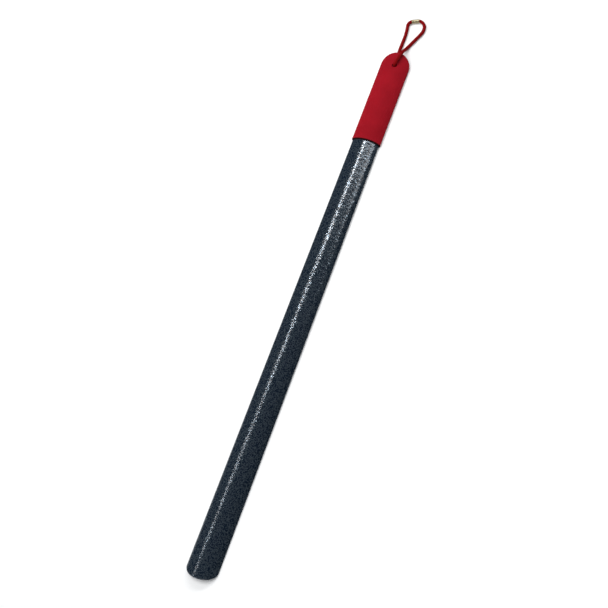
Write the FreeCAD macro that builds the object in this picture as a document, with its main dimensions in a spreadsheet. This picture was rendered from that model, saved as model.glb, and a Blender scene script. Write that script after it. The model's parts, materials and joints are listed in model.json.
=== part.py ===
import FreeCAD, Part
import math
import os
import Sketcher

# Long steel shoehorn lying arched side up: X runs from the heel tip to the grip, Z is up.
# The steel strip and the vinyl sleeve share one roll axis that runs along X below the table top.

doc = FreeCAD.newDocument("long_shoehorn")
vec = FreeCAD.Vector

sizes = doc.addObject("Spreadsheet::Sheet", "sizes")
VALUES = [
    ("overall_length", 762.0),
    ("grip_length", 138.5),
    ("sheet_thickness", 1.2),
    ("roll_radius", 26.0),
    ("centre_drop", 18.072),
    ("tip_width", 36.3),
    ("handle_width", 32.0),
    ("tip_depth", 16.0),
    ("deburr_radius", 0.3),
    ("grip_wall", 1.6),
    ("socket_fit", 0.05),
    ("hole_setback", 20.5),
    ("hole_diameter", 5.4),
    ("rim_flare", 0.6),
    ("cord_diameter", 4.2),
    ("floor_gap", 0.05),
    ("hinge_setoff", 24.0),
    ("hinge_gap", 1.6),
    ("loop_tilt", 0.8),
    ("ferrule_length", 9.5),
    ("ferrule_outer", 5.0),
    ("ferrule_bore", 4.3),
]
for row, (alias, value) in enumerate(VALUES, start=1):
    sizes.set("A%d" % row, alias)
    sizes.set("B%d" % row, str(value))
    sizes.setAlias("B%d" % row, alias)
doc.recompute()


def size(alias):
    return float(sizes.get(alias))


def fresh_body(label):
    body = doc.addObject("PartDesign::Body", label)
    body.Label = label
    return body


def origin_plane(body, role):
    return next(o for o in body.Origin.OriginFeatures if o.Role == role)


def attached_sketch(body, name, role, offset=0.0):
    sketch = body.newObject("Sketcher::SketchObject", name)
    sketch.AttachmentSupport = [(origin_plane(body, role), "")]
    sketch.MapMode = "FlatFace"
    sketch.AttachmentOffset = FreeCAD.Placement(vec(0, 0, offset), FreeCAD.Rotation())
    return sketch


def add_line(sketch, start, end):
    return sketch.addGeometry(Part.LineSegment(vec(*start, 0), vec(*end, 0)), False)


def add_arc(sketch, centre, radius, start, end):
    circle = Part.Circle(vec(*centre, 0), vec(0, 0, 1), radius)
    return sketch.addGeometry(Part.ArcOfCircle(circle, start, end), False)


def fix(sketch, kind, *values, size_expression=None):
    index = sketch.addConstraint(Sketcher.Constraint(kind, *values))
    if size_expression is not None:
        sketch.setExpression("Constraints[%d]" % index, size_expression)
    return index


def join(sketch, first, first_end, second, second_end):
    fix(sketch, "Coincident", first, first_end, second, second_end)


# An arched band: two arcs about the roll axis, closed by radial end lines.
def band_sketch(body, name, inner, outer, inner_size, outer_size):
    sketch = attached_sketch(body, name, "YZ_Plane")
    drop = size("centre_drop")
    low = math.radians(90 - 52)
    high = math.radians(90 + 52)

    def on_arc(radius, angle):
        return (radius * math.cos(angle), -drop + radius * math.sin(angle))

    top = add_arc(sketch, (0, -drop), outer, low, high)
    under = add_arc(sketch, (0, -drop), inner, low, high)
    right = add_line(sketch, on_arc(inner, low), on_arc(outer, low))
    left = add_line(sketch, on_arc(inner, high), on_arc(outer, high))
    join(sketch, top, 1, right, 2)
    join(sketch, under, 1, right, 1)
    join(sketch, top, 2, left, 2)
    join(sketch, under, 2, left, 1)
    join(sketch, top, 3, under, 3)
    fix(sketch, "PointOnObject", top, 3, -2)
    fix(sketch, "DistanceY", top, 3, -1, 1, drop, size_expression="sizes.centre_drop")
    fix(sketch, "Radius", top, outer, size_expression=outer_size)
    fix(sketch, "Radius", under, inner, size_expression=inner_size)
    fix(sketch, "DistanceX", left, 2, -1, 1, -on_arc(outer, high)[0])
    fix(sketch, "DistanceX", -1, 1, right, 2, on_arc(outer, low)[0])
    fix(sketch, "DistanceX", left, 1, -1, 1, -on_arc(inner, high)[0])
    fix(sketch, "DistanceX", -1, 1, right, 1, on_arc(inner, low)[0])
    return sketch


def frame_rectangle(sketch, x_low, x_high, half):
    corners = [(x_low, -half), (x_high, -half), (x_high, half), (x_low, half)]
    sides = [add_line(sketch, corners[i], corners[(i + 1) % 4]) for i in range(4)]
    for i in range(4):
        join(sketch, sides[i], 2, sides[(i + 1) % 4], 1)
    for i in (0, 2):
        fix(sketch, "Horizontal", sides[i])
        fix(sketch, "Vertical", sides[i + 1])
    fix(sketch, "DistanceX", sides[0], 1, -1, 1, -x_low)
    fix(sketch, "DistanceX", -1, 1, sides[0], 2, x_high)
    fix(sketch, "DistanceY", sides[0], 1, -1, 1, half)
    fix(sketch, "DistanceY", -1, 1, sides[2], 1, half)


def through_pocket(body, name, profile):
    pocket = body.newObject("PartDesign::Pocket", name)
    pocket.Profile = profile
    pocket.Type = "ThroughAll"
    pocket.Midplane = True
    return pocket


def pad_along(body, name, profile, length_expression):
    pad = body.newObject("PartDesign::Pad", name)
    pad.Profile = profile
    pad.setExpression("Length", length_expression)
    return pad


# ---- steel blade: a tapered strip rolled to one radius, both ends rounded ----
LENGTH = size("overall_length")
GRIP = size("grip_length")
WALL = size("grip_wall")
THICK = size("sheet_thickness")
ROLL = size("roll_radius")
BLADE = LENGTH - WALL
MOUTH = LENGTH - GRIP
TIP_HALF = size("tip_width") / 2
HANDLE_HALF = size("handle_width") / 2
TIP_DEPTH = size("tip_depth")
TIP_ARC = (TIP_HALF ** 2 + TIP_DEPTH ** 2) / (2 * TIP_DEPTH)

blade = fresh_body("steel_blade")
blade_band = band_sketch(
    blade, "blade_section",
    ROLL - THICK / 2, ROLL + THICK / 2,
    "sizes.roll_radius - sizes.sheet_thickness / 2",
    "sizes.roll_radius + sizes.sheet_thickness / 2",
)
blade_pad = pad_along(blade, "blade_strip", blade_band, "sizes.overall_length - sizes.grip_wall")

# plan outline: rounded heel tip, tapering sides, then parallel sides and a half-round end in the grip
outline = attached_sketch(blade, "blade_outline", "XY_Plane")
tip_angle = math.asin(TIP_HALF / TIP_ARC)
end_x = BLADE - HANDLE_HALF
tip = add_arc(outline, (TIP_ARC, 0), TIP_ARC, math.pi - tip_angle, math.pi + tip_angle)
taper_low = add_line(outline, (TIP_DEPTH, -TIP_HALF), (MOUTH, -HANDLE_HALF))
parallel_low = add_line(outline, (MOUTH, -HANDLE_HALF), (end_x, -HANDLE_HALF))
end = add_arc(outline, (end_x, 0), HANDLE_HALF, -math.pi / 2, math.pi / 2)
parallel_high = add_line(outline, (end_x, HANDLE_HALF), (MOUTH, HANDLE_HALF))
taper_high = add_line(outline, (MOUTH, HANDLE_HALF), (TIP_DEPTH, TIP_HALF))
join(outline, tip, 2, taper_low, 1)
join(outline, taper_low, 2, parallel_low, 1)
fix(outline, "Tangent", parallel_low, 2, end, 1)
fix(outline, "Tangent", end, 2, parallel_high, 1)
join(outline, parallel_high, 2, taper_high, 1)
join(outline, taper_high, 2, tip, 1)
fix(outline, "PointOnObject", tip, 3, -1)
fix(outline, "PointOnObject", end, 3, -1)
TIP_ARC_SIZE = "((sizes.tip_width / 2) ^ 2 + sizes.tip_depth ^ 2) / (2 * sizes.tip_depth)"
fix(outline, "Radius", tip, TIP_ARC, size_expression=TIP_ARC_SIZE)
fix(outline, "DistanceX", -1, 1, tip, 3, TIP_ARC, size_expression=TIP_ARC_SIZE)
fix(outline, "DistanceX", -1, 1, tip, 1, TIP_DEPTH, size_expression="sizes.tip_depth")
fix(outline, "DistanceX", -1, 1, tip, 2, TIP_DEPTH, size_expression="sizes.tip_depth")
fix(outline, "Radius", end, HANDLE_HALF, size_expression="sizes.handle_width / 2")
fix(
    outline, "DistanceX", -1, 1, end, 3, end_x,
    size_expression="sizes.overall_length - sizes.grip_wall - sizes.handle_width / 2",
)
fix(outline, "Horizontal", parallel_low)
fix(outline, "Horizontal", parallel_high)
for taper, corner in ((parallel_low, 1), (parallel_high, 2)):
    fix(
        outline, "DistanceX", -1, 1, taper, corner, MOUTH,
        size_expression="sizes.overall_length - sizes.grip_length",
    )
frame_rectangle(outline, -20, 900, 40)
trim = through_pocket(blade, "blade_trim", outline)

hole_sketch = attached_sketch(blade, "blade_hole_sketch", "XY_Plane")
hole_x = LENGTH - size("hole_setback")
hole = hole_sketch.addGeometry(
    Part.Circle(vec(hole_x, 0, 0), vec(0, 0, 1), size("hole_diameter") / 2), False
)
fix(hole_sketch, "PointOnObject", hole, 3, -1)
fix(
    hole_sketch, "DistanceX", -1, 1, hole, 3, hole_x,
    size_expression="sizes.overall_length - sizes.hole_setback",
)
fix(
    hole_sketch, "Radius", hole, size("hole_diameter") / 2,
    size_expression="sizes.hole_diameter / 2",
)
blade_hole = through_pocket(blade, "blade_hole", hole_sketch)
doc.recompute()


# the long sheared edges and the heel tip are deburred
def exposed_edges(shape):
    names = []
    for number, edge in enumerate(shape.Edges, start=1):
        box = edge.BoundBox
        upright = edge.Length < 2.5 * THICK
        if not upright and box.XMin < MOUTH - 1:
            names.append("Edge%d" % number)
    return names


deburr = blade.newObject("PartDesign::Fillet", "blade_deburr")
deburr.Base = (blade_hole, exposed_edges(blade_hole.Shape))
deburr.setExpression("Radius", "sizes.deburr_radius")
doc.recompute()
blade.Tip = deburr
blade.setExpression("Placement.Base.x", "-sizes.overall_length / 2")

# ---- vinyl grip: a sleeve of even wall dipped over the end of the strip ----
socket = fresh_body("grip_socket")
socket_band = band_sketch(
    socket, "socket_section",
    ROLL - THICK / 2 - size("socket_fit"), ROLL + THICK / 2 + size("socket_fit"),
    "sizes.roll_radius - sizes.sheet_thickness / 2 - sizes.socket_fit",
    "sizes.roll_radius + sizes.sheet_thickness / 2 + sizes.socket_fit",
)
socket_pad = pad_along(
    socket, "socket_strip", socket_band, "sizes.overall_length - sizes.grip_wall + sizes.socket_fit"
)
socket_plan = attached_sketch(socket, "socket_outline", "XY_Plane")
SOCKET_HALF = HANDLE_HALF + size("socket_fit")
START = MOUTH - 20
side_low = add_line(socket_plan, (START, -SOCKET_HALF), (end_x, -SOCKET_HALF))
round_end = add_arc(socket_plan, (end_x, 0), SOCKET_HALF, -math.pi / 2, math.pi / 2)
side_high = add_line(socket_plan, (end_x, SOCKET_HALF), (START, SOCKET_HALF))
back = add_line(socket_plan, (START, SOCKET_HALF), (START, -SOCKET_HALF))
fix(socket_plan, "Tangent", side_low, 2, round_end, 1)
fix(socket_plan, "Tangent", round_end, 2, side_high, 1)
join(socket_plan, side_high, 2, back, 1)
join(socket_plan, back, 2, side_low, 1)
fix(socket_plan, "Vertical", back)
fix(socket_plan, "Horizontal", side_low)
fix(socket_plan, "PointOnObject", round_end, 3, -1)
fix(
    socket_plan, "Radius", round_end, SOCKET_HALF,
    size_expression="sizes.handle_width / 2 + sizes.socket_fit",
)
fix(
    socket_plan, "DistanceX", -1, 1, round_end, 3, end_x,
    size_expression="sizes.overall_length - sizes.grip_wall - sizes.handle_width / 2",
)
fix(
    socket_plan, "DistanceX", -1, 1, back, 1, START,
    size_expression="sizes.overall_length - sizes.grip_length - 20",
)
frame_rectangle(socket_plan, -20, 900, 40)
socket_trim = through_pocket(socket, "socket_trim", socket_plan)
doc.recompute()
socket.Tip = socket_trim

# the part of the strip the vinyl wraps: it starts one wall thickness inside the sleeve's mouth
window = doc.addObject("Part::Box", "dip_window")
window.setExpression("Length", "sizes.grip_length")
window.Width = 60
window.Height = 60
window.setExpression("Placement.Base.x", "sizes.overall_length - sizes.grip_length + sizes.grip_wall")
window.Placement.Base.y = -30
window.Placement.Base.z = -20
dipped = doc.addObject("Part::Common", "dipped_length")
dipped.Base = socket
dipped.Tool = window
doc.recompute()
coat = doc.addObject("Part::Offset", "vinyl_coat")
coat.Source = dipped
coat.Mode = 0
coat.Join = 0
coat.Fill = False
coat.setExpression("Value", "sizes.grip_wall - sizes.socket_fit")
doc.recompute()
hollow = doc.addObject("Part::Cut", "vinyl_sleeve")
hollow.Base = coat
hollow.Tool = socket
doc.recompute()

# the cord hole, with a flared rim on both faces
UPPER = -size("centre_drop") + ROLL + THICK / 2 + WALL
UNDER = -size("centre_drop") + ROLL - THICK / 2 - WALL
UPPER_SIZE = "-sizes.centre_drop + sizes.roll_radius + sizes.sheet_thickness / 2 + sizes.grip_wall"
UNDER_SIZE = "-sizes.centre_drop + sizes.roll_radius - sizes.sheet_thickness / 2 - sizes.grip_wall"
HOLE_AT = "sizes.overall_length - sizes.hole_setback"
drill = doc.addObject("Part::Cylinder", "cord_drill")
drill.setExpression("Radius", "sizes.hole_diameter / 2")
drill.Height = 40
drill.setExpression("Placement.Base.x", HOLE_AT)
drill.Placement.Base.z = -10
flare_top = doc.addObject("Part::Cone", "flare_top")
flare_top.setExpression("Radius1", "sizes.hole_diameter / 2")
flare_top.setExpression("Radius2", "sizes.hole_diameter / 2 + 2 * sizes.rim_flare")
flare_top.setExpression("Height", "2 * sizes.rim_flare")
flare_top.setExpression("Placement.Base.x", HOLE_AT)
flare_top.setExpression("Placement.Base.z", UPPER_SIZE + " - sizes.rim_flare")
flare_under = doc.addObject("Part::Cone", "flare_under")
flare_under.setExpression("Radius1", "sizes.hole_diameter / 2 + 2 * sizes.rim_flare")
flare_under.setExpression("Radius2", "sizes.hole_diameter / 2")
flare_under.setExpression("Height", "2 * sizes.rim_flare")
flare_under.setExpression("Placement.Base.x", HOLE_AT)
flare_under.setExpression("Placement.Base.z", UNDER_SIZE + " - sizes.rim_flare")
cutter = doc.addObject("Part::MultiFuse", "cord_cutter")
cutter.Shapes = [drill, flare_top, flare_under]
grip = doc.addObject("Part::Cut", "vinyl_grip")
grip.Label = "vinyl_grip"
grip.Base = hollow
grip.Tool = cutter
doc.recompute()
grip.setExpression("Placement.Base.x", "-sizes.overall_length / 2")
doc.recompute()


# ---- cord: straight runs joined by tangent bends, each as wide as its two runs allow ----
def bent_path(points):
    edges = []
    bends = []
    previous = points[0]
    for i in range(1, len(points) - 1):
        corner = points[i]
        back_dir = (points[i - 1] - corner).normalize()
        next_dir = (points[i + 1] - corner).normalize()
        half_turn = (math.pi - back_dir.getAngle(next_dir)) / 2
        shorter = min((points[i - 1] - corner).Length, (points[i + 1] - corner).Length)
        reach = 0.45 * shorter
        radius = reach / math.tan(half_turn)
        start = corner + back_dir * reach
        finish = corner + next_dir * reach
        inward = (back_dir + next_dir).normalize()
        middle = corner + inward * (radius / math.cos(half_turn) - radius)
        edges.append(Part.LineSegment(previous, start).toShape())
        edges.append(Part.Arc(start, middle, finish).toShape())
        bends.append(radius)
        previous = finish
    edges.append(Part.LineSegment(previous, points[-1]).toShape())
    return Part.Wire(edges), bends


def cord_tube(label, points):
    path, bends = bent_path(points)
    half = size("cord_diameter") / 2
    start = points[0]
    profile = Part.Wire(Part.makeCircle(half, start, points[1] - start))
    tube = path.makePipeShell([profile], True, False)
    ideal = path.Length * math.pi * half ** 2
    print("%s length %.1f bends %s" % (label, path.Length, [round(b, 1) for b in bends]))
    print("%s volume %.1f of %.1f" % (label, tube.Volume, ideal))
    return tube


def placed_feature(label, shape, placement):
    feature = doc.addObject("Part::Feature", label)
    feature.Label = label
    feature.Shape = shape
    feature.Placement = placement
    return feature


GRIP_END = LENGTH / 2
HOLE_WORLD = GRIP_END - size("hole_setback")
HALF_CORD = size("cord_diameter") / 2
FLOOR_Z = HALF_CORD + size("floor_gap")
HUMP_Z = UPPER + HALF_CORD + 1.6
HINGE_X = GRIP_END + size("hinge_setoff")
GAP = size("hinge_gap")

# the bight, measured from the hole's axis: in from the fold line, over the grip's end,
# down through the hole and back out underneath to the fold line
stop_x = HINGE_X - GAP - HOLE_WORLD
bight_points = [
    vec(stop_x, -8.5, FLOOR_Z),
    vec(36.6, -6.0, FLOOR_Z),
    vec(30.3, -4.9, FLOOR_Z + 3.0),
    vec(24.6, -4.8, HUMP_Z - 2.9),
    vec(17.2, -3.3, HUMP_Z),
    vec(9.3, -1.9, HUMP_Z + 0.1),
    vec(0, 0, HUMP_Z - 0.9),
    vec(0, 0, FLOOR_Z),
    vec(10.2, 1.1, FLOOR_Z),
    vec(21.0, 1.9, FLOOR_Z),
    vec(32.2, 2.2, FLOOR_Z),
    vec(stop_x, 1.95, FLOOR_Z),
]
bight_tube = cord_tube("cord_bight", bight_points)
bight = placed_feature(
    "cord_bight", bight_tube, FreeCAD.Placement(vec(HOLE_WORLD, 0, 0), FreeCAD.Rotation())
)

# the loop, measured from the fold line: up the left strand, through the crimp, round the
# right shoulder and back, rising a little so that the crimp clears the table
loop_points = [
    vec(GAP, 1.9, 0),
    vec(10.0, 2.0, 0),
    vec(19.0, 2.8, 0),
    vec(27.2, 4.2, 0),
    vec(31.3, 1.5, 0),
    vec(35.8, -8.6, 0),
    vec(34.2, -13.3, 0),
    vec(28.6, -17.3, 0),
    vec(19.3, -16.8, 0),
    vec(10.0, -13.1, 0),
    vec(GAP, -9.7, 0),
]
loop_tube = cord_tube("cord_loop", loop_points)
loop_place = FreeCAD.Placement(
    vec(HINGE_X, 0, FLOOR_Z), FreeCAD.Rotation(vec(0, 1, 0), -size("loop_tilt"))
)
loop = placed_feature("cord_loop", loop_tube, loop_place)

# ---- brass ferrule: a short tube crimped over the cord's two ends ----
ferrule = fresh_body("cord_ferrule")
ring = attached_sketch(ferrule, "ferrule_section", "YZ_Plane")
for alias in ("ferrule_outer", "ferrule_bore"):
    ring_circle = ring.addGeometry(Part.Circle(vec(0, 0, 0), vec(0, 0, 1), size(alias) / 2), False)
    fix(ring, "Coincident", ring_circle, 3, -1, 1)
    fix(ring, "Radius", ring_circle, size(alias) / 2, size_expression="sizes.%s / 2" % alias)
ferrule_tube = pad_along(ferrule, "ferrule_tube", ring, "sizes.ferrule_length")
ferrule_tube.Midplane = True
doc.recompute()
ferrule.Tip = ferrule_tube
run_start = loop_points[4]
run_end = loop_points[5]
run_direction = (run_end - run_start).normalize()
run_middle = (run_start + run_end) * 0.5
local_turn = FreeCAD.Rotation(vec(1, 0, 0), run_direction)
ferrule.Placement = loop_place.multiply(FreeCAD.Placement(run_middle, local_turn))
doc.recompute()

# ---- check every object, then write one STEP file for each piece ----
for item in doc.Objects:
    bad = [s for s in item.State if s in ("Invalid", "Error")]
    if bad:
        raise RuntimeError("%s is %s" % (item.Name, bad))
pieces = [blade, grip, bight, loop, ferrule]
for piece in pieces:
    if piece.Shape.isNull() or not piece.Shape.isValid():
        raise RuntimeError("%s has a bad shape" % piece.Label)
    box = piece.Shape.BoundBox
    print(
        "%s solids %d volume %.1f x %.2f..%.2f y %.2f..%.2f z %.2f..%.2f"
        % (piece.Label, len(piece.Shape.Solids), piece.Shape.Volume,
           box.XMin, box.XMax, box.YMin, box.YMax, box.ZMin, box.ZMax)
    )
os.makedirs("parts", exist_ok=True)
for piece in pieces:
    piece.Shape.exportStep("parts/%s.step" % piece.Label)
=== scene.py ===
import json
import math

import bmesh
import bpy
from mathutils import Matrix, Vector

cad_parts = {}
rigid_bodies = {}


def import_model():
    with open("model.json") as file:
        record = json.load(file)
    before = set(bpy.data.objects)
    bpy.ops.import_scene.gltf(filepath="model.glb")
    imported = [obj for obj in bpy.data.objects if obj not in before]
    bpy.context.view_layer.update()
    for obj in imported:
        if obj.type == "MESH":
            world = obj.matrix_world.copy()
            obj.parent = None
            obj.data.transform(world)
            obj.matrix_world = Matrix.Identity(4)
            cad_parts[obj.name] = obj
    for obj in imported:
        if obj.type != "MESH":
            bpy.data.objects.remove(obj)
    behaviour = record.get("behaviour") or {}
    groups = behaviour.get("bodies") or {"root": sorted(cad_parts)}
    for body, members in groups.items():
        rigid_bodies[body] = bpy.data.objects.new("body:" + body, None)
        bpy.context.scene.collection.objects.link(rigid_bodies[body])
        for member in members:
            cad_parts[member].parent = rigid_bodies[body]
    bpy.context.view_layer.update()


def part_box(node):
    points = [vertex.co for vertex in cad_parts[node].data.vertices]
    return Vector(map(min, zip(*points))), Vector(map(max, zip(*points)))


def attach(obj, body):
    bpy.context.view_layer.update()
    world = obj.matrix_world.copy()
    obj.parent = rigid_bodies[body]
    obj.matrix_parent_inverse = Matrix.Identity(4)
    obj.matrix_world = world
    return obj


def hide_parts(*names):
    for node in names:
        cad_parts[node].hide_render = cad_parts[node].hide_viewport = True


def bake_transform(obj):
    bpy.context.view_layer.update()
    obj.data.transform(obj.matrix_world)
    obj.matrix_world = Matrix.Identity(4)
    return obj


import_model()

scene = bpy.context.scene

# ---- Camera ----
# It stands beyond the heel tip and above it, looking down at about 57 degrees, with a long lens.
# Its level direction is turned so that the shoehorn lies askew in the view.
camera_data = bpy.data.cameras.new("camera")
camera_data.sensor_width = 36.0
camera_data.lens = 183.8
camera_data.clip_end = 50.0
camera = bpy.data.objects.new("camera", camera_data)
scene.collection.objects.link(camera)
eye = Vector((-1.86614, -0.60078, 3.03561))
aim = Vector((0.00199, 0.00069, 0.0))
away = (aim - eye).normalized()
level = Vector((0.3065, -0.9519, 0.0))
level = (level - away * level.dot(away)).normalized()
upward = level.cross(away)
camera.matrix_world = Matrix((
    (level.x, upward.x, -away.x, eye.x),
    (level.y, upward.y, -away.y, eye.y),
    (level.z, upward.z, -away.z, eye.z),
    (0, 0, 0, 1),
))
scene.camera = camera

# ---- Hanging cord ----
# A 4.2 mm round cord of braided red polyester, limp. It runs from the crimp down the left strand,
# under the grip, up through the hole, back over the grip's round end and round to the crimp.
CORD_RADIUS = 0.0021
grip_low, grip_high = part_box("vinyl_grip")
GRIP_END = grip_high.x
HOLE_X = GRIP_END - 0.0205
FOLD_X = GRIP_END + 0.024
FLOOR_Z = CORD_RADIUS + 0.00005
HUMP_Z = grip_high.z + CORD_RADIUS + 0.0016
LOOP_RISE = math.tan(math.radians(0.8))


def loop_point(x, y):
    return Vector((FOLD_X + x, y, FLOOR_Z + x * LOOP_RISE))


def bight_point(x, y, z):
    return Vector((HOLE_X + x, y, z))


crimp_low_end = loop_point(0.0313, 0.0015)
crimp_high_end = loop_point(0.0358, -0.0086)
crimp_middle = (crimp_low_end + crimp_high_end) / 2
crimp_along = (crimp_high_end - crimp_low_end).normalized()
cord_route = [
    crimp_middle,
    crimp_middle - crimp_along * 0.0035,
    crimp_low_end,
    loop_point(0.0272, 0.0042),
    loop_point(0.0190, 0.0028),
    loop_point(0.0100, 0.0020),
    loop_point(0.0016, 0.0019),
    bight_point(0.0322, 0.0022, FLOOR_Z),
    bight_point(0.0210, 0.0019, FLOOR_Z),
    bight_point(0.0102, 0.0011, FLOOR_Z),
    bight_point(0.0, 0.0, FLOOR_Z),
    bight_point(0.0, 0.0, HUMP_Z - 0.0009),
    bight_point(0.0093, -0.0019, HUMP_Z + 0.0001),
    bight_point(0.0172, -0.0033, HUMP_Z),
    bight_point(0.0246, -0.0048, HUMP_Z - 0.0029),
    bight_point(0.0303, -0.0049, FLOOR_Z + 0.0030),
    bight_point(0.0366, -0.0060, FLOOR_Z),
    bight_point(0.0429, -0.0085, FLOOR_Z),
    loop_point(0.0016, -0.0097),
    loop_point(0.0100, -0.0131),
    loop_point(0.0193, -0.0168),
    loop_point(0.0286, -0.0173),
    loop_point(0.0342, -0.0133),
    crimp_high_end,
    crimp_middle + crimp_along * 0.0035,
    crimp_middle + crimp_along * 0.0002,
]


def spline_object(name, points, resolution):
    curve = bpy.data.curves.new(name, "CURVE")
    curve.dimensions = "3D"
    spline = curve.splines.new("NURBS")
    spline.points.add(len(points) - 1)
    for node, point in zip(spline.points, points):
        node.co = (*point, 1.0)
    spline.order_u = 3
    spline.use_endpoint_u = True
    spline.resolution_u = resolution
    holder = bpy.data.objects.new(name, curve)
    scene.collection.objects.link(holder)
    return holder


def sampled_line(holder):
    bpy.context.view_layer.update()
    graph = bpy.context.evaluated_depsgraph_get()
    line = bpy.data.meshes.new_from_object(holder.evaluated_get(graph))
    points = [v.co.copy() for v in line.vertices]
    bpy.data.meshes.remove(line)
    bpy.data.objects.remove(holder)
    return points


def even_points(points, step):
    gaps = [(b - a).length for a, b in zip(points, points[1:])]
    count = round(sum(gaps) / step)
    wanted = [sum(gaps) * i / count for i in range(count + 1)]
    result = []
    run = 0.0
    index = 0
    for goal in wanted:
        while index < len(gaps) - 1 and run + gaps[index] < goal:
            run += gaps[index]
            index += 1
        share = (goal - run) / gaps[index]
        result.append(points[index].lerp(points[index + 1], share))
    return result


def smooth_points(points, rounds):
    for _ in range(rounds):
        inner = [(a + b * 2 + c) / 4 for a, b, c in zip(points, points[1:], points[2:])]
        points = [points[0], *inner, points[-1]]
    return points


def carried_frames(points):
    directions = [(b - a).normalized() for a, b in zip(points, points[1:])]
    directions.append(directions[-1])
    side = directions[0].orthogonal().normalized()
    sides = []
    for direction in directions:
        side = (side - direction * side.dot(direction)).normalized()
        sides.append(side)
    return directions, sides


def mesh_object(name, vertices, faces):
    mesh = bpy.data.meshes.new(name)
    mesh.from_pydata([tuple(v) for v in vertices], [], faces)
    mesh.validate()
    mesh.polygons.foreach_set("use_smooth", [True] * len(mesh.polygons))
    mesh.update()
    piece = bpy.data.objects.new(name, mesh)
    scene.collection.objects.link(piece)
    return piece


def closed_tube_faces(rings, around):
    faces = []
    for i in range(rings - 1):
        for j in range(around):
            k = (j + 1) % around
            faces.append((i * around + j, i * around + k, (i + 1) * around + k, (i + 1) * around + j))
    return faces


BRAID_CARRIERS = 8
BRAID_PITCH = 0.0145
YARN_RELIEF = 0.00027
RING_STEP = 0.00029
AROUND = 48
YARN_FILL = 0.97
UNDER_HEIGHT = 0.45
SPLINE_RESOLUTION = 24
SMOOTHING_ROUNDS = 6

cord_holder = spline_object("cord_route", cord_route, SPLINE_RESOLUTION)
cord_line = smooth_points(even_points(sampled_line(cord_holder), RING_STEP), SMOOTHING_ROUNDS)
cord_directions, cord_sides = carried_frames(cord_line)


# height of the braid at an angle round the cord and a distance along it: two families of
# yarns wind opposite ways and pass over and under each other at every crossing
def braid_height(angle, distance):
    turn = 2 * math.pi * distance / BRAID_PITCH
    crossing = math.cos(BRAID_CARRIERS * turn)
    best = -1.0
    for way in (1, -1):
        phase = (angle - way * turn) * BRAID_CARRIERS / (2 * math.pi)
        across = (phase - round(phase)) * 2
        crown = math.sqrt(max(0.0, 1 - (across * YARN_FILL) ** 2))
        lift = 0.5 + 0.5 * way * crossing
        best = max(best, crown * (UNDER_HEIGHT + (1 - UNDER_HEIGHT) * lift))
    return best


cord_vertices = []
relief_values = []
for i, centre in enumerate(cord_line):
    along = cord_directions[i]
    first = cord_sides[i]
    second = along.cross(first)
    for j in range(AROUND):
        angle = 2 * math.pi * j / AROUND
        relief = braid_height(angle, i * RING_STEP)
        relief_values.append(relief)
        radius = CORD_RADIUS - YARN_RELIEF + YARN_RELIEF * relief
        outward = first * math.cos(angle) + second * math.sin(angle)
        cord_vertices.append(centre + outward * radius)
cord_faces = closed_tube_faces(len(cord_line), AROUND)
cord_faces.append(tuple(reversed(range(AROUND))))
last_ring = (len(cord_line) - 1) * AROUND
cord_faces.append(tuple(last_ring + j for j in range(AROUND)))
cord = mesh_object("braided_cord", cord_vertices, cord_faces)

# UV: once round, and one unit for every 10 mm along the cord
cord_uv = cord.data.uv_layers.new(name="along_cord")
for polygon in cord.data.polygons:
    columns = [cord.data.loops[k].vertex_index % AROUND for k in polygon.loop_indices]
    crosses_seam = max(columns) - min(columns) > AROUND / 2
    for loop_index, column in zip(polygon.loop_indices, columns):
        ring = cord.data.loops[loop_index].vertex_index // AROUND
        turned = column + AROUND if crosses_seam and column == 0 else column
        cord_uv.data[loop_index].uv = (turned / AROUND, ring * RING_STEP * 100)

cord_relief = cord.data.attributes.new("yarn_height", "FLOAT", "POINT")
cord_relief.data.foreach_set("value", relief_values)


def new_material(name):
    material = bpy.data.materials.new(name)
    material.use_nodes = True
    tree = material.node_tree
    shader = tree.nodes["Principled BSDF"]
    return material, tree, shader


def add_node(tree, kind, **settings):
    node = tree.nodes.new(kind)
    for key, value in settings.items():
        setattr(node, key, value)
    return node


def set_ramp(ramp, stops):
    elements = ramp.color_ramp.elements
    while len(elements) > len(stops):
        elements.remove(elements[-1])
    while len(elements) < len(stops):
        elements.new(1.0)
    for element, (position, colour) in zip(elements, stops):
        element.position = position
        element.color = (*colour, 1.0)


def object_noise(tree, scale, detail=3.0, roughness=0.5, stretch=None):
    place = add_node(tree, "ShaderNodeTexCoord")
    source = place.outputs["Object"]
    if stretch is not None:
        mapping = add_node(tree, "ShaderNodeMapping")
        mapping.inputs["Scale"].default_value = stretch
        tree.links.new(source, mapping.inputs["Vector"])
        source = mapping.outputs["Vector"]
    pattern = add_node(tree, "ShaderNodeTexNoise")
    pattern.inputs["Scale"].default_value = scale
    pattern.inputs["Detail"].default_value = detail
    pattern.inputs["Roughness"].default_value = roughness
    tree.links.new(source, pattern.inputs["Vector"])
    return pattern


def add_bump(tree, shader, height, strength, distance, below=None):
    bump = add_node(tree, "ShaderNodeBump")
    bump.inputs["Strength"].default_value = strength
    bump.inputs["Distance"].default_value = distance
    tree.links.new(height, bump.inputs["Height"])
    if below is not None:
        tree.links.new(below, bump.inputs["Normal"])
    tree.links.new(bump.outputs["Normal"], shader.inputs["Normal"])
    return bump.outputs["Normal"]


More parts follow.
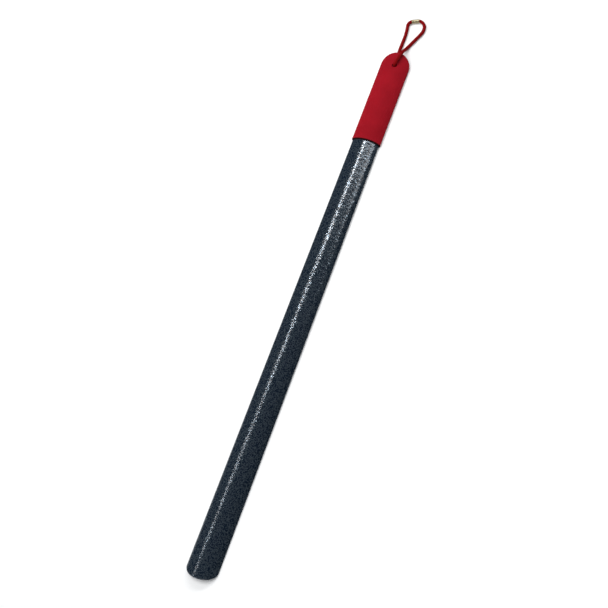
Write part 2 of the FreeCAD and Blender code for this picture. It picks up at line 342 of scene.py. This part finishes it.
def braided_polyester():
    material, tree, shader = new_material("red_braided_polyester")
    height = add_node(tree, "ShaderNodeAttribute", attribute_name="yarn_height")
    # the base colour follows the yarn's height: it is darker towards the valleys between the yarns, which
    # is painted shade, and brightest on the crowns
    shade = add_node(tree, "ShaderNodeValToRGB")
    set_ramp(shade, [
        (0.0, (0.004, 0.0002, 0.0003)),
        (0.55, (0.075, 0.0005, 0.0010)),
        (1.0, (0.40, 0.0035, 0.006)),
    ])
    tree.links.new(height.outputs["Fac"], shade.inputs["Fac"])
    fibre = object_noise(tree, 2600.0, 2.0)
    mottle = add_node(tree, "ShaderNodeMix", data_type="RGBA", blend_type="MULTIPLY")
    mottle.inputs["Factor"].default_value = 0.35
    tree.links.new(shade.outputs["Color"], mottle.inputs["A"])
    tree.links.new(fibre.outputs["Fac"], mottle.inputs["B"])
    tree.links.new(mottle.outputs["Result"], shader.inputs["Base Color"])
    shader.inputs["Roughness"].default_value = 0.75
    shader.inputs["Specular IOR Level"].default_value = 0.05
    add_bump(tree, shader, fibre.outputs["Fac"], 0.5, 0.00006)
    return material


cord.data.materials.append(braided_polyester())
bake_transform(cord)
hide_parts("cord_bight", "cord_loop")

# ---- Crimped ferrule ----
# A short brass tube rolled from sheet, slipped over both ends of the cord and pinched
# twice from above and below, with its butt seam underneath.
CRIMP_HALF = 0.00475
CRIMP_OUTER = 0.0025
CRIMP_INNER = 0.00217
CRIMP_RINGS = 72
CRIMP_AROUND = 72
BORE_RINGS = 24
LIP_ROUND = 0.0002
LIP_STEPS = 8
PINCH_AT = 0.0018
PINCH_SPREAD = 0.00062
PINCH_DEPTH = 0.00030
PINCH_BULGE = 0.00008
BORE_PINCH = 0.35
SEAM_ANGLE = math.pi + 0.35
SEAM_DEPTH = 0.00016
SEAM_SPREAD = 0.05
crimp_up = (Vector((0, 0, 1)) - crimp_along * crimp_along.z).normalized()
crimp_side = crimp_along.cross(crimp_up)


def crimp_radius(station, angle, outside):
    radius = CRIMP_OUTER if outside else CRIMP_INNER
    pinch = sum(math.exp(-((station - at) / PINCH_SPREAD) ** 2) for at in (-PINCH_AT, PINCH_AT))
    squeeze = pinch * (PINCH_DEPTH * math.cos(angle) ** 4 - PINCH_BULGE * math.sin(angle) ** 2)
    off_seam = abs((angle - SEAM_ANGLE + math.pi) % (2 * math.pi) - math.pi)
    seam = SEAM_DEPTH * math.exp(-(off_seam / SEAM_SPREAD) ** 2) if outside else 0.0
    return radius - squeeze * (1.0 if outside else BORE_PINCH) - seam


# the tube's wall, once round: outside, far lip, bore, near lip; each row is the distance from the
# middle and the share of the wall's thickness, 1 outside and 0 in the bore
straight_half = CRIMP_HALF - LIP_ROUND
crimp_profile = []
for i in range(CRIMP_RINGS):
    crimp_profile.append((straight_half * (2 * i / (CRIMP_RINGS - 1) - 1), 1.0))
for step in range(1, LIP_STEPS):
    turn = math.pi * step / LIP_STEPS
    crimp_profile.append((straight_half + LIP_ROUND * math.sin(turn), 0.5 + 0.5 * math.cos(turn)))
for i in range(BORE_RINGS):
    crimp_profile.append((straight_half * (1 - 2 * i / (BORE_RINGS - 1)), 0.0))
for step in range(1, LIP_STEPS):
    turn = math.pi * step / LIP_STEPS
    crimp_profile.append((-straight_half - LIP_ROUND * math.sin(turn), 0.5 - 0.5 * math.cos(turn)))
crimp_vertices = []
for station, share in crimp_profile:
    for j in range(CRIMP_AROUND):
        angle = 2 * math.pi * j / CRIMP_AROUND
        outer = crimp_radius(station, angle, True)
        inner = crimp_radius(station, angle, False)
        radius = inner + (outer - inner) * share
        outward = crimp_up * math.cos(angle) + crimp_side * math.sin(angle)
        crimp_vertices.append(crimp_middle + crimp_along * station + outward * radius)
crimp_faces = closed_tube_faces(len(crimp_profile), CRIMP_AROUND)
wrap = (len(crimp_profile) - 1) * CRIMP_AROUND
for j in range(CRIMP_AROUND):
    k = (j + 1) % CRIMP_AROUND
    crimp_faces.append((wrap + j, wrap + k, k, j))
crimp = mesh_object("brass_crimp", crimp_vertices, crimp_faces)


def face_outward(piece):
    shell = bmesh.new()
    shell.from_mesh(piece.data)
    bmesh.ops.recalc_face_normals(shell, faces=shell.faces)
    shell.to_mesh(piece.data)
    shell.free()


face_outward(crimp)


def pale_brass():
    material, tree, shader = new_material("pale_rolled_brass")
    tarnish = object_noise(tree, 420.0, 4.0)
    tint = add_node(tree, "ShaderNodeValToRGB")
    set_ramp(tint, [(0.3, (0.30, 0.25, 0.14)), (0.7, (0.52, 0.46, 0.30))])
    tree.links.new(tarnish.outputs["Fac"], tint.inputs["Fac"])
    tree.links.new(tint.outputs["Color"], shader.inputs["Base Color"])
    shader.inputs["Metallic"].default_value = 1.0
    dull = add_node(tree, "ShaderNodeMapRange")
    dull.inputs["To Min"].default_value = 0.22
    dull.inputs["To Max"].default_value = 0.42
    tree.links.new(tarnish.outputs["Fac"], dull.inputs["Value"])
    tree.links.new(dull.outputs["Result"], shader.inputs["Roughness"])
    scratch = object_noise(tree, 3800.0, 2.0, 0.6, stretch=(1.0, 0.15, 1.0))
    add_bump(tree, shader, scratch.outputs["Fac"], 0.35, 0.00004)
    return material


crimp.data.materials.append(pale_brass())
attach(crimp, "hang_loop")
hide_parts("cord_ferrule")

# ---- Enamelled blade ----
# One strip of 1.2 mm steel, sheared with a rounded heel tip, rolled to an arch and stoved in
# blue-black hammer enamel, which dries into small dimples. Its upper end lies inside the grip.
blade_low, blade_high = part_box("steel_blade")
TIP_X = blade_low.x
BLADE_END = blade_high.x
MOUTH_X = grip_low.x
SHEET = 0.0012
ROLL_RADIUS = 0.026
ROLL_CENTRE = -0.018072
TIP_HALF = 0.01815
HANDLE_HALF = 0.016
TIP_DEPTH = 0.016
TIP_ARC = (TIP_HALF ** 2 + TIP_DEPTH ** 2) / (2 * TIP_DEPTH)
EDGE_ROUND = 0.0003
EDGE_STEPS = 4
OPEN_ROWS = 715
COVERED_ROWS = 30
COLUMNS = 56
COVERED_SHARE = 0.832
FAN = math.radians(76.5)
HOLE_RADIUS = 0.0027
DRILL_LENGTH = 0.04
SWELL_SCALE = 520.0
CELL_MIDDLE = 0.42
FADE_PER_METRE = 500.0
HAMMERING = {
    "Roll Radius": ROLL_RADIUS,
    "Roll Centre": ROLL_CENTRE,
    "Dimple Depth": 0.0001,
    "Dimples Per Metre": 390.0,
    "Covered From": MOUTH_X + 0.004,
    "Seed": 4.0,
}


def row_share(row):
    if row <= OPEN_ROWS:
        return COVERED_SHARE * row / OPEN_ROWS
    return COVERED_SHARE + (1 - COVERED_SHARE) * (row - OPEN_ROWS) / COVERED_ROWS


# a point of the flat strip's face, drawn in by the edge rounding; share runs from tip to end
# and side from -1 to 1 across
def face_point(share, side):
    tip_half = TIP_HALF - EDGE_ROUND
    end_half = HANDLE_HALF - EDGE_ROUND
    start = TIP_X + TIP_ARC - math.sqrt((TIP_ARC - EDGE_ROUND) ** 2 - (side * tip_half) ** 2)
    stop = BLADE_END - HANDLE_HALF + math.sqrt(max(0.0, 1 - side * side)) * end_half
    x = start + (stop - start) * share
    taper = (x - TIP_X - TIP_DEPTH) / (MOUTH_X - TIP_X - TIP_DEPTH)
    half = tip_half + (end_half - tip_half) * min(1.0, max(0.0, taper))
    return x, side * half


def strip_rim(rows, columns):
    rim = [(i, 0) for i in range(rows)]
    rim += [(rows, j) for j in range(columns)]
    rim += [(i, columns) for i in range(rows, 0, -1)]
    rim += [(0, j) for j in range(columns, 0, -1)]
    return rim


def rim_normals(points):
    normals = []
    for k, point in enumerate(points):
        before = points[k - 1]
        after = points[(k + 1) % len(points)]
        tangent = Vector((after[0] - before[0], after[1] - before[1])).normalized()
        normals.append(Vector((tangent.y, -tangent.x)))
    return normals


rows = OPEN_ROWS + COVERED_ROWS
sides = [math.sin(FAN * (2 * j / COLUMNS - 1)) / math.sin(FAN) for j in range(COLUMNS + 1)]
plan = [[face_point(row_share(i), side) for side in sides] for i in range(rows + 1)]
strip_points = []
for height in (SHEET / 2, -SHEET / 2):
    strip_points += [(x, y, height) for row in plan for x, y in row]
per_row = COLUMNS + 1
under_start = (rows + 1) * per_row
strip_faces = []
for i in range(rows):
    for j in range(COLUMNS):
        a = i * per_row + j
        b = a + per_row
        strip_faces.append((a, b, b + 1, a + 1))
        strip_faces.append((under_start + a, under_start + a + 1, under_start + b + 1, under_start + b))
rim = strip_rim(rows, COLUMNS)
rim_plan = [plan[i][j] for i, j in rim]
outward_plan = rim_normals(rim_plan)
loops = [[i * per_row + j for i, j in rim]]
for step in range(1, EDGE_STEPS * 2 + 1):
    upper = step <= EDGE_STEPS
    quarter = step if upper else step - 1
    angle = math.pi / 2 - math.pi / 2 * quarter / EDGE_STEPS
    centre = (SHEET / 2 - EDGE_ROUND) * (1 if upper else -1)
    reach = EDGE_ROUND * math.cos(angle)
    edge_height = centre + EDGE_ROUND * math.sin(angle)
    first = len(strip_points)
    for (x, y), normal in zip(rim_plan, outward_plan):
        strip_points.append((x + normal.x * reach, y + normal.y * reach, edge_height))
    loops.append(list(range(first, first + len(rim))))
loops.append([under_start + i * per_row + j for i, j in rim])
for upper_loop, lower_loop in zip(loops, loops[1:]):
    for k in range(len(rim)):
        n = (k + 1) % len(rim)
        strip_faces.append((upper_loop[k], lower_loop[k], lower_loop[n], upper_loop[n]))
blade = mesh_object("enamelled_blade", strip_points, strip_faces)
face_outward(blade)


class NodeGroup:
    def __init__(self, name):
        self.tree = bpy.data.node_groups.new(name, "GeometryNodeTree")
        self.tree.interface.new_socket("Geometry", in_out="INPUT", socket_type="NodeSocketGeometry")
        self.tree.interface.new_socket("Geometry", in_out="OUTPUT", socket_type="NodeSocketGeometry")
        self.start = self.tree.nodes.new("NodeGroupInput")
        self.finish = self.tree.nodes.new("NodeGroupOutput")

    def number(self, name, value):
        socket = self.tree.interface.new_socket(name, in_out="INPUT", socket_type="NodeSocketFloat")
        socket.default_value = value

    def material(self, name):
        self.tree.interface.new_socket(name, in_out="INPUT", socket_type="NodeSocketMaterial")

    def given(self, name):
        return self.start.outputs[name]

    def feed(self, socket, value):
        if isinstance(value, bpy.types.NodeSocket):
            self.tree.links.new(value, socket)
        else:
            socket.default_value = value

    def math(self, operation, first, second=0.0):
        node = add_node(self.tree, "ShaderNodeMath", operation=operation)
        self.feed(node.inputs[0], first)
        self.feed(node.inputs[1], second)
        return node.outputs[0]

    def node(self, kind, settings=None, **values):
        node = add_node(self.tree, kind, **(settings or {}))
        for key, value in values.items():
            self.feed(node.inputs[key.replace("_", " ")], value)
        return node


def rolled_strip_group():
    group = NodeGroup("rolled_and_hammered_strip")
    for name, value in HAMMERING.items():
        group.number(name, value)
    group.material("Enamel")
    place = group.node("GeometryNodeInputPosition").outputs[0]
    parts = group.node("ShaderNodeSeparateXYZ", Vector=place).outputs
    radius = group.given("Roll Radius")
    level = group.math("SQRT", group.math(
        "SUBTRACT", group.math("MULTIPLY", radius, radius), group.math("MULTIPLY", parts["Y"], parts["Y"])
    ))
    swing = group.math("DIVIDE", parts["Z"], radius)
    rolled_y = group.math("ADD", parts["Y"], group.math("MULTIPLY", parts["Y"], swing))
    rise = group.math("ADD", level, group.math("MULTIPLY", level, swing))
    rolled_z = group.math("ADD", rise, group.given("Roll Centre"))
    rolled = group.node("ShaderNodeCombineXYZ", X=parts["X"], Y=rolled_y, Z=rolled_z).outputs[0]
    arched = group.node("GeometryNodeSetPosition", Geometry=group.given("Geometry"), Position=rolled)

    new_place = group.node("GeometryNodeInputPosition").outputs[0]
    shifted = group.node("ShaderNodeVectorMath", {"operation": "ADD"}).outputs[0]
    group.feed(shifted.node.inputs[0], new_place)
    seed_shift = group.node("ShaderNodeCombineXYZ", X=group.given("Seed")).outputs[0]
    group.feed(shifted.node.inputs[1], seed_shift)
    cells = group.node(
        "ShaderNodeTexVoronoi",
        {"feature": "SMOOTH_F1"},
        Vector=shifted, Scale=group.given("Dimples Per Metre"), Smoothness=0.25, Randomness=1.0,
    ).outputs["Distance"]
    swell = group.node(
        "ShaderNodeTexNoise", {"noise_dimensions": "4D"},
        Vector=new_place, W=group.given("Seed"), Scale=SWELL_SCALE, Detail=1.0,
    ).outputs["Fac"]
    pits = group.math("SUBTRACT", cells, CELL_MIDDLE)
    wave = group.math("ADD", pits, group.math("SUBTRACT", swell, 0.5))
    along = group.node("ShaderNodeSeparateXYZ", Vector=new_place).outputs["X"]
    inside = group.math("SUBTRACT", group.given("Covered From"), along)
    fade = group.node("ShaderNodeClamp", Value=group.math("MULTIPLY", inside, FADE_PER_METRE)).outputs[0]
    depth = group.math("MULTIPLY", group.math("MULTIPLY", wave, group.given("Dimple Depth")), fade)
    push = group.node("ShaderNodeVectorMath", {"operation": "SCALE"},
                      Vector=group.node("GeometryNodeInputNormal").outputs[0], Scale=depth).outputs[0]
    dimpled = group.node("GeometryNodeSetPosition", Geometry=arched.outputs[0], Offset=push)
    real = group.node("GeometryNodeRealizeInstances", Geometry=dimpled.outputs[0])
    coated = group.node(
        "GeometryNodeSetMaterial", Geometry=real.outputs[0], Material=group.given("Enamel")
    )
    group.tree.links.new(coated.outputs[0], group.finish.inputs[0])
    return group.tree


def kept_result(piece):
    bpy.context.view_layer.update()
    graph = bpy.context.evaluated_depsgraph_get()
    finished = bpy.data.meshes.new_from_object(piece.evaluated_get(graph))
    piece.modifiers.clear()
    piece.data = finished


def baked(piece, tree, **values):
    modifier = piece.modifiers.new(tree.name, "NODES")
    modifier.node_group = tree
    for item in tree.interface.items_tree:
        if item.item_type == "SOCKET" and item.in_out == "INPUT" and item.name in values:
            modifier[item.identifier] = values[item.name]
    piece.update_tag()
    kept_result(piece)
    piece.data.name = piece.name


def hammer_enamel():
    material, tree, shader = new_material("blue_black_hammer_enamel")
    place = add_node(tree, "ShaderNodeTexCoord").outputs["Object"]
    cells = add_node(tree, "ShaderNodeTexVoronoi", feature="SMOOTH_F1")
    cells.inputs["Scale"].default_value = 430.0
    cells.inputs["Smoothness"].default_value = 0.5
    tree.links.new(place, cells.inputs["Vector"])
    veins = object_noise(tree, 620.0, 2.0, 0.6)
    fleck = add_node(tree, "ShaderNodeValToRGB")
    set_ramp(fleck, [(0.47, (0, 0, 0)), (0.68, (1, 1, 1))])
    tree.links.new(veins.outputs["Fac"], fleck.inputs["Fac"])
    colour = add_node(tree, "ShaderNodeMix", data_type="RGBA")
    colour.inputs["A"].default_value = (0.0024, 0.0072, 0.0160, 1)
    colour.inputs["B"].default_value = (0.132, 0.168, 0.200, 1)
    tree.links.new(fleck.outputs["Color"], colour.inputs["Factor"])
    tree.links.new(colour.outputs["Result"], shader.inputs["Base Color"])
    tree.links.new(fleck.outputs["Color"], shader.inputs["Metallic"])
    shader.inputs["Roughness"].default_value = 0.13
    shader.inputs["Coat Weight"].default_value = 0.10
    shader.inputs["Coat Roughness"].default_value = 0.10
    bump = add_bump(tree, shader, cells.outputs["Distance"], 0.5, 0.00014)
    rough = add_bump(tree, shader, veins.outputs["Fac"], 0.5, 0.00014, below=bump)
    tree.links.new(rough, shader.inputs["Coat Normal"])
    return material


baked(blade, rolled_strip_group(), **HAMMERING, Enamel=hammer_enamel())


def drilled(piece, centre, radius):
    drill_mesh = bmesh.new()
    bmesh.ops.create_cone(
        drill_mesh, cap_ends=True, segments=64, radius1=radius, radius2=radius, depth=DRILL_LENGTH,
        matrix=Matrix.Translation(centre),
    )
    mesh = bpy.data.meshes.new("drill")
    drill_mesh.to_mesh(mesh)
    drill_mesh.free()
    drill = bpy.data.objects.new("drill", mesh)
    scene.collection.objects.link(drill)
    cut = piece.modifiers.new("hole", "BOOLEAN")
    cut.operation = "DIFFERENCE"
    cut.object = drill
    cut.solver = "EXACT"
    kept_result(piece)
    bpy.data.objects.remove(drill)


drilled(blade, Vector((HOLE_X, 0, 0)), HOLE_RADIUS)
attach(blade, "shoehorn")
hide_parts("steel_blade")

# ---- Vinyl grip ----
# A sleeve of red vinyl, made by dipping the warm strip: a rolled bead at its
# mouth, a round end, and a hole pierced through vinyl and steel for the cord.
SKIN_FROM = 0.0009
SKIN_RISE = 2500.0
SLEEVE_SKIN = {
    "Bead Lift": 0.00035,
    "Bead At": MOUTH_X + 0.0016,
    "Bead Spread": 0.0011,
    "Sag": 0.00006,
    "Seed": 2.0,
}
cad_grip = next(o for o in scene.objects if o.type == "MESH" and o.name.startswith("vinyl_grip"))
grip_shell = bmesh.new()
grip_shell.from_mesh(cad_grip.data)
grip_shell.transform(cad_grip.matrix_world)
bmesh.ops.remove_doubles(grip_shell, verts=grip_shell.verts, dist=0.000002)
grip_mesh = bpy.data.meshes.new("vinyl_sleeve")
grip_shell.to_mesh(grip_mesh)
grip_shell.free()
grip = bpy.data.objects.new("vinyl_sleeve", grip_mesh)
scene.collection.objects.link(grip)

remesh = grip.modifiers.new("even skin", "REMESH")
remesh.mode = "VOXEL"
remesh.voxel_size = 0.00052
remesh.use_smooth_shade = True
relax = grip.modifiers.new("relax", "SMOOTH")
relax.factor = 0.5
relax.iterations = 5
kept_result(grip)


def sleeve_group():
    group = NodeGroup("dipped_sleeve_skin")
    for name, value in SLEEVE_SKIN.items():
        group.number(name, value)
    group.material("Vinyl")
    place = group.node("GeometryNodeInputPosition").outputs[0]
    parts = group.node("ShaderNodeSeparateXYZ", Vector=place).outputs
    from_bead = group.math("SUBTRACT", parts["X"], group.given("Bead At"))
    away_x = group.math("DIVIDE", from_bead, group.given("Bead Spread"))
    squared = group.math("MULTIPLY", away_x, away_x)
    bead = group.math("POWER", 2.718, group.math("MULTIPLY", squared, -1.0))
    # only the outer skin swells: none of it within 0.9 mm of the steel's middle, all beyond 1.3 mm
    height = group.math("SUBTRACT", parts["Z"], ROLL_CENTRE)
    radial = group.math("SQRT", group.math(
        "ADD", group.math("MULTIPLY", parts["Y"], parts["Y"]), group.math("MULTIPLY", height, height)
    ))
    off_steel = group.math("ABSOLUTE", group.math("SUBTRACT", radial, ROLL_RADIUS))
    off_side = group.math("SUBTRACT", group.math("ABSOLUTE", parts["Y"]), HANDLE_HALF - SHEET / 2)
    farther = group.math("MAXIMUM", off_steel, off_side)
    outer = group.node("ShaderNodeClamp", Value=group.math(
        "MULTIPLY", group.math("SUBTRACT", farther, SKIN_FROM), SKIN_RISE
    )).outputs[0]
    unevenness = group.node(
        "ShaderNodeTexNoise", {"noise_dimensions": "4D"},
        Vector=place, W=group.given("Seed"), Scale=70.0, Detail=2.0,
    ).outputs["Fac"]
    sag = group.math("MULTIPLY", group.math("SUBTRACT", unevenness, 0.5), group.given("Sag"))
    lift = group.math("ADD", group.math("MULTIPLY", bead, group.given("Bead Lift")), sag)
    push = group.node("ShaderNodeVectorMath", {"operation": "SCALE"},
                      Vector=group.node("GeometryNodeInputNormal").outputs[0],
                      Scale=group.math("MULTIPLY", lift, outer)).outputs[0]
    shaped = group.node("GeometryNodeSetPosition", Geometry=group.given("Geometry"), Offset=push)
    real = group.node("GeometryNodeRealizeInstances", Geometry=shaped.outputs[0])
    coated = group.node(
        "GeometryNodeSetMaterial", Geometry=real.outputs[0], Material=group.given("Vinyl")
    )
    group.tree.links.new(coated.outputs[0], group.finish.inputs[0])
    return group.tree


def dipped_vinyl():
    material, tree, shader = new_material("dipped_red_vinyl")
    cloud = object_noise(tree, 55.0, 4.0)
    tint = add_node(tree, "ShaderNodeValToRGB")
    set_ramp(tint, [(0.3, (0.245, 0.0022, 0.0085)), (0.7, (0.285, 0.0032, 0.0105))])
    tree.links.new(cloud.outputs["Fac"], tint.inputs["Fac"])
    # the lip is darkened almost to black at its mouth, back to full red 1.8 mm in: it stands for
    # the dark line that the lip's shadow draws
    place = add_node(tree, "ShaderNodeTexCoord")
    parts = add_node(tree, "ShaderNodeSeparateXYZ")
    tree.links.new(place.outputs["Object"], parts.inputs["Vector"])
    lip = add_node(tree, "ShaderNodeMapRange")
    lip.inputs["From Min"].default_value = MOUTH_X + 0.0008
    lip.inputs["From Max"].default_value = MOUTH_X + 0.0018
    lip.inputs["To Min"].default_value = 0.04
    lip.inputs["To Max"].default_value = 1.0
    tree.links.new(parts.outputs["X"], lip.inputs["Value"])
    darkened = add_node(tree, "ShaderNodeMix", data_type="RGBA", blend_type="MULTIPLY")
    darkened.inputs["Factor"].default_value = 1.0
    tree.links.new(tint.outputs["Color"], darkened.inputs["A"])
    tree.links.new(lip.outputs["Result"], darkened.inputs["B"])
    tree.links.new(darkened.outputs["Result"], shader.inputs["Base Color"])
    grain = object_noise(tree, 2200.0, 2.0)
    dull = add_node(tree, "ShaderNodeMapRange")
    dull.inputs["To Min"].default_value = 0.66
    dull.inputs["To Max"].default_value = 0.82
    tree.links.new(grain.outputs["Fac"], dull.inputs["Value"])
    tree.links.new(dull.outputs["Result"], shader.inputs["Roughness"])
    shader.inputs["Specular IOR Level"].default_value = 0.09
    shader.inputs["Subsurface Weight"].default_value = 0.05
    shader.inputs["Subsurface Radius"].default_value = (0.0012, 0.0002, 0.0002)
    shader.inputs["Subsurface Scale"].default_value = 1.0
    add_bump(tree, shader, grain.outputs["Fac"], 0.25, 0.00006)
    return material


baked(grip, sleeve_group(), **SLEEVE_SKIN, Vinyl=dipped_vinyl())
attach(grip, "shoehorn")
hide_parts("vinyl_grip")

# ---- Table top ----
# A plain, nearly white table top, matt and very slightly mottled, wide enough to fill the view.
floor = mesh_object("table_top", [(-4, -4, 0), (4, -4, 0), (4, 4, 0), (-4, 4, 0)], [(0, 1, 2, 3)])
floor_material, floor_tree, floor_shader = new_material("white_table")
floor_cloud = object_noise(floor_tree, 3.0, 3.0)
floor_tint = add_node(floor_tree, "ShaderNodeValToRGB")
set_ramp(floor_tint, [(0.2, (0.955, 0.955, 0.955)), (0.8, (0.985, 0.985, 0.985))])
floor_tree.links.new(floor_cloud.outputs["Fac"], floor_tint.inputs["Fac"])
floor_tree.links.new(floor_tint.outputs["Color"], floor_shader.inputs["Base Color"])
floor_shader.inputs["Roughness"].default_value = 0.9
floor_shader.inputs["Specular IOR Level"].default_value = 0.1
floor.data.materials.append(floor_material)

# ---- Light ----
# A broad soft key from above, on the heel tip's side. Three narrow strips, mirrored one after
# another, draw the thin bright line down the blade. A panel beyond the grip is mirrored only by
# the stretch of blade next to the grip.
world = bpy.data.worlds.new("studio")
world.use_nodes = True
world.node_tree.nodes["Background"].inputs["Color"].default_value = (0.60, 0.80, 1.0, 1)
world.node_tree.nodes["Background"].inputs["Strength"].default_value = 0.05
scene.world = world


def area_light(name, centre, target, long_way, length, width, watts):
    light = bpy.data.lights.new(name, "AREA")
    light.shape = "RECTANGLE"
    light.size = length
    light.size_y = width
    light.energy = watts
    lamp = bpy.data.objects.new(name, light)
    scene.collection.objects.link(lamp)
    back = (Vector(centre) - Vector(target)).normalized()
    across = Vector(long_way)
    across = (across - back * across.dot(back)).normalized()
    up = back.cross(across)
    lamp.matrix_world = Matrix((
        (across.x, up.x, back.x, centre[0]),
        (across.y, up.y, back.y, centre[1]),
        (across.z, up.z, back.z, centre[2]),
        (0, 0, 0, 1),
    ))


key = bpy.data.lights.new("key", "SUN")
key.energy = 3.1
key.angle = math.radians(75)
key_lamp = bpy.data.objects.new("key", key)
scene.collection.objects.link(key_lamp)
key_lamp.rotation_euler = Vector((-0.36, 0.42, 0.83)).to_track_quat("Z", "Y").to_euler()
for name, centre, long_way, length, width, watts in (
    ("strip for the mouth", (1.065, 0.305, 1.22), (0.15, -0.143, 0.0), 0.207, 0.05, 1.86),
    ("strip for the blade", (0.845, 0.515, 1.22), (0.29, -0.277, 0.0), 0.401, 0.028, 1.75),
    ("strip for the tip", (0.54, 0.850, 1.22), (0.32, -0.395, 0.0), 0.508, 0.028, 1.10),
):
    area_light(name, centre, (0, 0, 0), long_way, length, width, watts)
area_light(
    "panel", centre=(1.30, -0.35, 1.15), target=(0.2, 0, 0), long_way=(0.127, -0.992, 0.0),
    length=1.20, width=0.42, watts=8.6,
)

scene.view_settings.view_transform = "Standard"
scene.view_settings.look = "None"
scene.view_settings.exposure = 0.0
